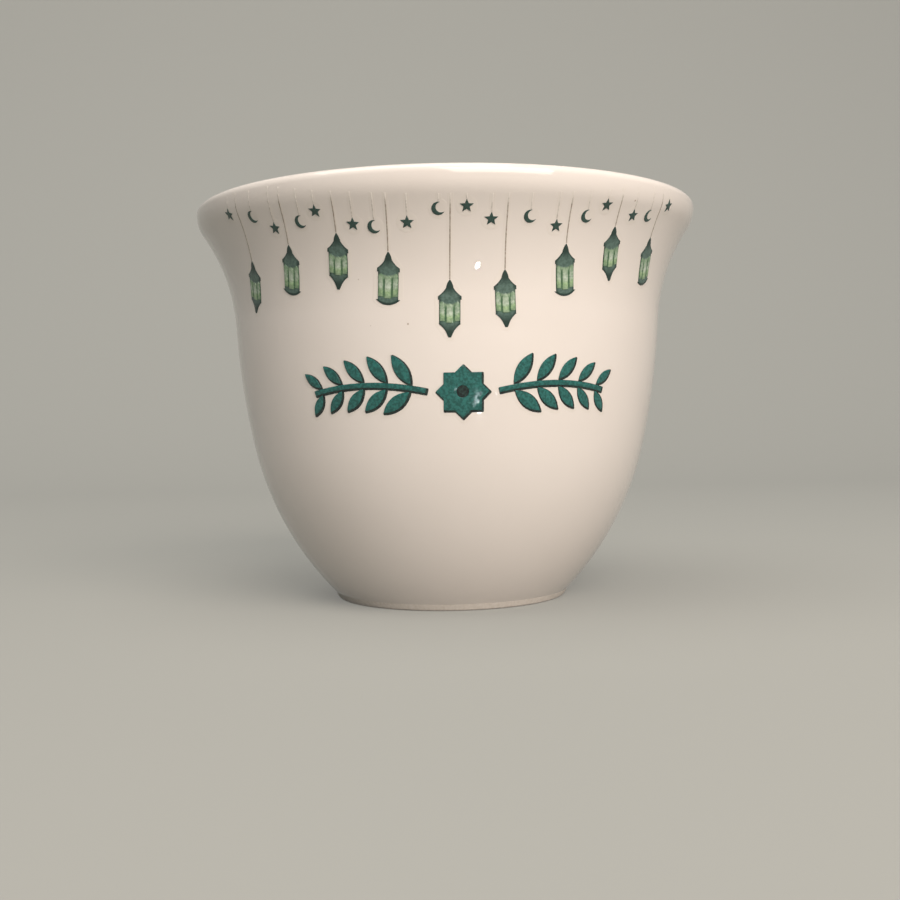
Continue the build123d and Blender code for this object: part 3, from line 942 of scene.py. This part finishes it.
class COFFEE_CUP_OT_turned(Operator):
    """Turns the porcelain body, the glaze over it and the glaze inside its foot"""

    bl_idname = "coffee_cup.turned"
    bl_label = "Body and glaze"

    def execute(self, context):
        cup = context.scene.cup_sizes
        colours = context.scene.cup_colours
        wall = Wall(cup)
        outer = skin_line(wall, cup, 0.0, LINE_STEP)
        inner = skin_line(wall, cup, cup.glaze, HIDDEN_STEP)
        tones = (colours.glaze, colours.glaze_cloud, colours.speck)
        gloss = glaze_material("glazed porcelain", *tones, GLAZE_ROUGHNESS, GLAZE_PEEL)
        clay = turned([*inner[::-1], *foot_line(cup)])
        dress(clay, "clay_body", dry_porcelain(colours), ["porcelain_body"])
        glaze = turned([*outer[::-1], *inner])
        dress(glaze, "glaze_gloss", gloss, ["glaze_coat"])
        dress(turned(pool_line(cup)), "foot_pool", gloss, ["foot_glaze"])
        return {"FINISHED"}


class COFFEE_CUP_OT_lanterns(Operator):
    """Prints the nine lanterns: a dark frame and three panes each"""

    bl_idname = "coffee_cup.lanterns"
    bl_label = "Lanterns"

    def execute(self, context):
        scene = context.scene
        layout = scene.cup_print
        lantern = scene.cup_lantern
        sheet = Sheet(scene)
        kinds = (("pointed lantern", True, POINTED_LANTERNS), ("standing lantern", False, BASE_LANTERNS))
        for kind, pointed, places in kinds:
            frame_ink = lantern_ink(f"{kind} frame ink", scene.cup_colours, lantern, pointed)
            window_ink = pane_ink(f"{kind} pane ink", scene.cup_colours, lantern, pointed)
            depth = lantern_drop(lantern, pointed)[-1]
            for number, (across, tip) in places.items():
                name = f"lantern_{number}"
                seat = sheet.seat(across * MM, tip * MM + depth / 2)
                layer = (layout.ink, layout.ink_shoulder, depth, depth / 2)
                outline = mirrored(lantern_half(lantern, pointed))
                silhouette = print_shape(outline, seat, layout.film, *layer)
                finish([silhouette], f"{name}_silhouette", frame_ink, [f"{name}_frame"])
                windows = [
                    print_shape(window, seat, layout.film + layout.ink, *layer)
                    for window in lantern_windows(lantern, pointed)
                ]
                finish(windows, f"{name}_windows", window_ink, [f"{name}_panes"])
        return {"FINISHED"}


class COFFEE_CUP_OT_charms(Operator):
    """Prints the stars and the crescents"""

    bl_idname = "coffee_cup.charms"
    bl_label = "Stars and crescents"

    def execute(self, context):
        scene = context.scene
        layout = scene.cup_print
        charm = scene.cup_charms
        sheet = Sheet(scene)
        ink = flecked_ink("charm ink", scene.cup_colours.charm, scene.cup_colours.roof, CHARM_FLECKS)
        rows = (("star", STARS, star_outline(charm)), ("crescent", CRESCENTS, crescent_outline(charm)))
        for name, places, outline in rows:
            for number, (across, down) in enumerate(places, 1):
                seat = sheet.seat(across * MM, down * MM)
                shape = print_shape(outline, seat, layout.film, layout.ink, layout.ink_shoulder)
                finish([shape], f"{name}_{number}_drop", ink, [f"{name}_{number}"])
        return {"FINISHED"}


class COFFEE_CUP_OT_threads(Operator):
    """Prints the threads that the lanterns, stars and crescents hang on"""

    bl_idname = "coffee_cup.threads"
    bl_label = "Threads"

    def execute(self, context):
        scene = context.scene
        layout = scene.cup_print
        plain = thread_ink("thread ink", scene.cup_colours, 0.0)
        faint = thread_ink("faint thread ink", scene.cup_colours, FAINT)
        inks = {"lantern": plain, "star": faint, "crescent": faint}
        layer = (layout.film, layout.thread_ink, layout.ink_shoulder)
        for name, hung in hung_places(scene).items():
            shapes = [
                print_shape(rectangle(layout.thread, length), seat, *layer, length, length / 2)
                for seat, length in hung
            ]
            finish(shapes, f"{name}_thread_lines", inks[name], [f"{name}_threads"])
        return {"FINISHED"}


def hung_places(scene):
    """Seats and lengths of the threads of each kind of motif, from the sheet's top to the motif's tip."""
    charm = scene.cup_charms
    sheet = Sheet(scene)
    kinds = {
        "lantern": ([*POINTED_LANTERNS.values(), *BASE_LANTERNS.values()], 0.0),
        "star": (STARS, charm.star_radius),
        "crescent": (CRESCENTS, charm.crescent_radius),
    }
    hung = {}
    for name, (places, rise) in kinds.items():
        hung[name] = []
        for across, down in places:
            top = sheet.thread_top(across * MM)
            length = down * MM - rise - scene.cup_print.thread_gap - top
            hung[name].append((sheet.seat(across * MM, top + length / 2), length))
    return hung


def ornament_seat(scene, across):
    """Seat on the level line of the ornament, at a distance along the wall from its middle."""
    wall = Wall(scene.cup_sizes)
    length = wall.length_at(scene.cup_sizes.height - scene.cup_charms.ornament_drop)
    return wall_seat(wall, length, (scene.cup_charms.ornament_across + across) / wall.at(length)[0])


def ornament_parts(scene):
    """Name, seat, outlines and hole of each group of the leaf ornament."""
    charm = scene.cup_charms
    parts = [("rosette", ornament_seat(scene, 0), [rosette_outline(charm)], circle(charm.rosette_hole))]
    for side, name in ((1, "right"), (-1, "left")):
        seat = ornament_seat(scene, side * (charm.sprig_start + charm.sprig_length / 2))
        stem, leaves = sprig_outlines(charm, side)
        parts.append((f"{name}_sprig_stem", seat, stem, None))
        parts.append((f"{name}_sprig_leaves", seat, leaves, None))
    return parts


def edge_border(charm, outline, margin=0.0):
    """Outline of the dark edge round a shape of the ornament, and further out by a margin."""
    return shifted(outset(outline, charm.edge + margin), charm.edge_shift, -charm.edge_shift)


class COFFEE_CUP_OT_ornament(Operator):
    """Prints the rosette and the two leaf sprigs in teal over a dark edge"""

    bl_idname = "coffee_cup.ornament"
    bl_label = "Leaf ornament"

    def execute(self, context):
        scene = context.scene
        layout = scene.cup_print
        colours = scene.cup_colours
        teal = flecked_ink("teal ink", colours.teal, colours.teal_dark)
        dark = flecked_ink("edge ink", colours.edge, colours.roof)
        layer = (layout.ink, layout.ink_shoulder)
        edges = {}
        for name, seat, outlines, hole in ornament_parts(scene):
            top = layout.film + layout.ink
            shapes = [print_shape(outline, seat, top, *layer, hole=hole) for outline in outlines]
            finish(shapes, f"{name}_teal", teal, [name])
            group = name.replace("_stem", "").replace("_leaves", "")
            edges.setdefault(group, [])
            for outline in outlines:
                border = edge_border(scene.cup_charms, outline)
                edges[group].append(print_shape(border, seat, layout.film, *layer))
        for group, shapes in edges.items():
            finish(shapes, f"{group}_dark_edge", dark, [f"{group}_edge"])
        return {"FINISHED"}


class COFFEE_CUP_OT_film(Operator):
    """Lays the clear film round every motif and along every thread"""

    bl_idname = "coffee_cup.film"
    bl_label = "Clear film"

    def execute(self, context):
        scene = context.scene
        layout = scene.cup_print
        charm = scene.cup_charms
        lantern = scene.cup_lantern
        sheet = Sheet(scene)
        margin = layout.film_margin
        places = []
        for pointed, lanterns in ((True, POINTED_LANTERNS), (False, BASE_LANTERNS)):
            depth = lantern_drop(lantern, pointed)[-1]
            outline = lantern_film(lantern, pointed, margin)
            for across, tip in lanterns.values():
                places.append((outline, sheet.seat(across * MM, tip * MM + depth / 2), depth / 2))
        for charms, radius in ((STARS, charm.star_radius), (CRESCENTS, charm.crescent_radius)):
            for across, down in charms:
                places.append((circle(radius + margin), sheet.seat(across * MM, down * MM), 0.0))
        for hung in hung_places(scene).values():
            for seat, length in hung:
                places.append((rectangle(layout.strip, length), seat, length / 2))
        for _, seat, outlines, _ in ornament_parts(scene):
            places += [(edge_border(charm, outline, margin), seat, 0.0) for outline in outlines]
        shapes = [
            print_shape(outline, seat, 0.0, layout.film, layout.film_shoulder, lift=lift)
            for outline, seat, lift in places
        ]
        colours = scene.cup_colours
        tones = (colours.film, colours.film_cloud, colours.film_cloud)
        lacquer = glaze_material("clear lacquer", *tones, FILM_ROUGHNESS, FILM_PEEL)
        finish(shapes, "lacquer_film", lacquer, ["clear_film"])
        return {"FINISHED"}


# The stage, in metres: a level floor that sweeps up behind the cup
FLOOR_HALF = 6.0
SWEEP_START = 0.22
SWEEP_RADIUS = 0.25
SWEEP_STEPS = 16
BACKDROP_TOP = 1.6
PAPER_GLOW = 0.18         # light that the paper shows to the eye and throws on nothing
PAPER_TONE = "#FFFCF4"
ROOM_TONE = "#B0B5B5"
ROOM_LIGHT = 0.56
GLINT_TONE = "#F2F7FF"
GLINT_SPREAD = radians(14)

# The camera stands close in front of the cup, level with its middle, as the picture was taken by hand
CAMERA_PLACE = (0.0, -157.21 * MM, 24.17 * MM)
CAMERA_YAW = radians(0.03)
CAMERA_PITCH = radians(-1.795)
CAMERA_ROLL = radians(-1.022)
CAMERA_LENS = 46.73
CAMERA_SENSOR = 36.0


class COFFEE_CUP_OT_stage(Operator):
    """Sets up the floor, the lamps and the camera"""

    bl_idname = "coffee_cup.stage"
    bl_label = "Stage"

    def execute(self, context):
        scene = context.scene
        floor = sweep_floor()
        floor.data.materials.append(studio_paper(scene.cup_colours))
        add_lamp(
            "window", place=(0.18, -0.40, 0.27), target=(0, 0, glaze_high.z / 2),
            width=0.40, height=0.40, watts=2.8, code="#FFF3E8",
        )
        add_lamp(
            "ceiling", place=(-0.15, 0.0, 0.75), target=(-0.15, 0.45, 0.25),
            width=0.7, height=0.7, watts=3.4, code="#FFFAF2",
        )
        add_glint(
            "waist_glint", place=(0.0192, -0.0821, 0.0188), target=(0.0035, -0.0283, 0.0404),
            width=0.0013, height=0.0016, watts=0.00002,
        )
        add_glint(
            "belly_glint", place=(0.0197, -0.0810, 0.0059), target=(0.0034, -0.0264, 0.0248),
            width=0.0016, height=0.005, watts=0.000012,
        )
        world = bpy.data.worlds.new("soft room")
        scene.world = world
        world.use_nodes = True
        background = world.node_tree.nodes["Background"]
        background.inputs["Color"].default_value = linear(ROOM_TONE)
        background.inputs["Strength"].default_value = ROOM_LIGHT
        add_camera(scene)
        scene.view_settings.view_transform = "Standard"
        return {"FINISHED"}


def sweep_floor():
    """Floor whose back edge sweeps up to a backdrop."""
    bpy.ops.object.select_all(action="DESELECT")
    bpy.ops.mesh.primitive_plane_add(size=2 * FLOOR_HALF, location=(0, SWEEP_START - FLOOR_HALF, 0))
    floor = bpy.context.object
    floor.name = "paper_sweep"
    bpy.ops.object.transform_apply()
    to_mode("EDIT")
    bpy.ops.mesh.select_mode(type="EDGE")
    bpy.ops.mesh.select_all(action="DESELECT")
    to_mode("OBJECT")
    for edge in floor.data.edges:
        edge.select = all(floor.data.vertices[index].co.y > SWEEP_START - MM for index in edge.vertices)
    to_mode("EDIT")
    curve = arc_line((SWEEP_START, SWEEP_RADIUS), SWEEP_RADIUS, -pi / 2, 0, SWEEP_STEPS)
    curve.append((SWEEP_START + SWEEP_RADIUS, BACKDROP_TOP))
    for here, after in zip(curve, curve[1:]):
        move = {"value": (0, after[0] - here[0], after[1] - here[1])}
        bpy.ops.mesh.extrude_region_move(TRANSFORM_OT_translate=move)
    bpy.ops.mesh.select_mode(type="VERT")
    bpy.ops.mesh.select_all(action="SELECT")
    bpy.ops.mesh.normals_make_consistent(inside=False)
    to_mode("OBJECT")
    bpy.ops.object.shade_smooth()
    return floor


def add_lamp(name, place, target, width, height, watts, code):
    """Soft lamp that faces a target and isn't seen itself."""
    aim = (Vector(target) - Vector(place)).to_track_quat("-Z", "Y")
    bpy.ops.object.light_add(type="AREA", location=place, rotation=aim.to_euler())
    lamp = bpy.context.object
    lamp.name = name
    lamp.data.shape = "RECTANGLE"
    lamp.data.size = width
    lamp.data.size_y = height
    lamp.data.energy = watts
    lamp.data.color = linear(code)[:3]
    lamp.visible_camera = False
    return lamp


def add_glint(name, place, target, width, height, watts):
    """Small cool lamp that shows only as its own reflection in gloss."""
    lamp = add_lamp(name, place, target, width, height, watts, GLINT_TONE)
    lamp.data.spread = GLINT_SPREAD
    lamp.visible_diffuse = False


def add_camera(scene):
    """Camera at the picture's viewpoint, with the slight roll of a hand-held picture."""
    ahead = Matrix.Rotation(-CAMERA_YAW, 3, "Z") @ Matrix.Rotation(pi / 2 + CAMERA_PITCH, 3, "X")
    turn = ahead @ Matrix.Rotation(CAMERA_ROLL, 3, "Z")
    bpy.ops.object.camera_add(location=CAMERA_PLACE, rotation=turn.to_euler())
    camera = bpy.context.object
    camera.data.sensor_width = CAMERA_SENSOR
    camera.data.lens = CAMERA_LENS
    camera.data.clip_start = MM
    scene.camera = camera


class COFFEE_CUP_PT_pieces(Panel):
    """Lists the steps that build the cup"""

    bl_label = "Coffee Cup"
    bl_idname = "COFFEE_CUP_PT_pieces"
    bl_space_type = "VIEW_3D"
    bl_region_type = "UI"
    bl_category = "Coffee Cup"

    def draw(self, context):
        for step in STEPS:
            self.layout.operator(step.bl_idname)


STEPS = (
    COFFEE_CUP_OT_turned,
    COFFEE_CUP_OT_film,
    COFFEE_CUP_OT_lanterns,
    COFFEE_CUP_OT_charms,
    COFFEE_CUP_OT_threads,
    COFFEE_CUP_OT_ornament,
    COFFEE_CUP_OT_stage,
)
GROUPS = {
    "cup_sizes": CupSizes,
    "cup_print": PrintSizes,
    "cup_lantern": LanternSizes,
    "cup_charms": CharmSizes,
    "cup_colours": CupColours,
}


def register():
    """Registers the sizes, the steps and the panel."""
    for name, group in GROUPS.items():
        bpy.utils.register_class(group)
        setattr(bpy.types.Scene, name, PointerProperty(type=group))
    for kind in (*STEPS, COFFEE_CUP_PT_pieces):
        bpy.utils.register_class(kind)


def unregister():
    """Removes the panel, the steps and the sizes."""
    for kind in (COFFEE_CUP_PT_pieces, *reversed(STEPS)):
        bpy.utils.unregister_class(kind)
    for name, group in GROUPS.items():
        delattr(bpy.types.Scene, name)
        bpy.utils.unregister_class(group)


def main():
    """Builds the cup and its stage."""
    register()
    bpy.ops.coffee_cup.turned()
    bpy.ops.coffee_cup.film()
    bpy.ops.coffee_cup.lanterns()
    bpy.ops.coffee_cup.charms()
    bpy.ops.coffee_cup.threads()
    bpy.ops.coffee_cup.ornament()
    bpy.ops.coffee_cup.stage()


if __name__ == "__main__":
    main()
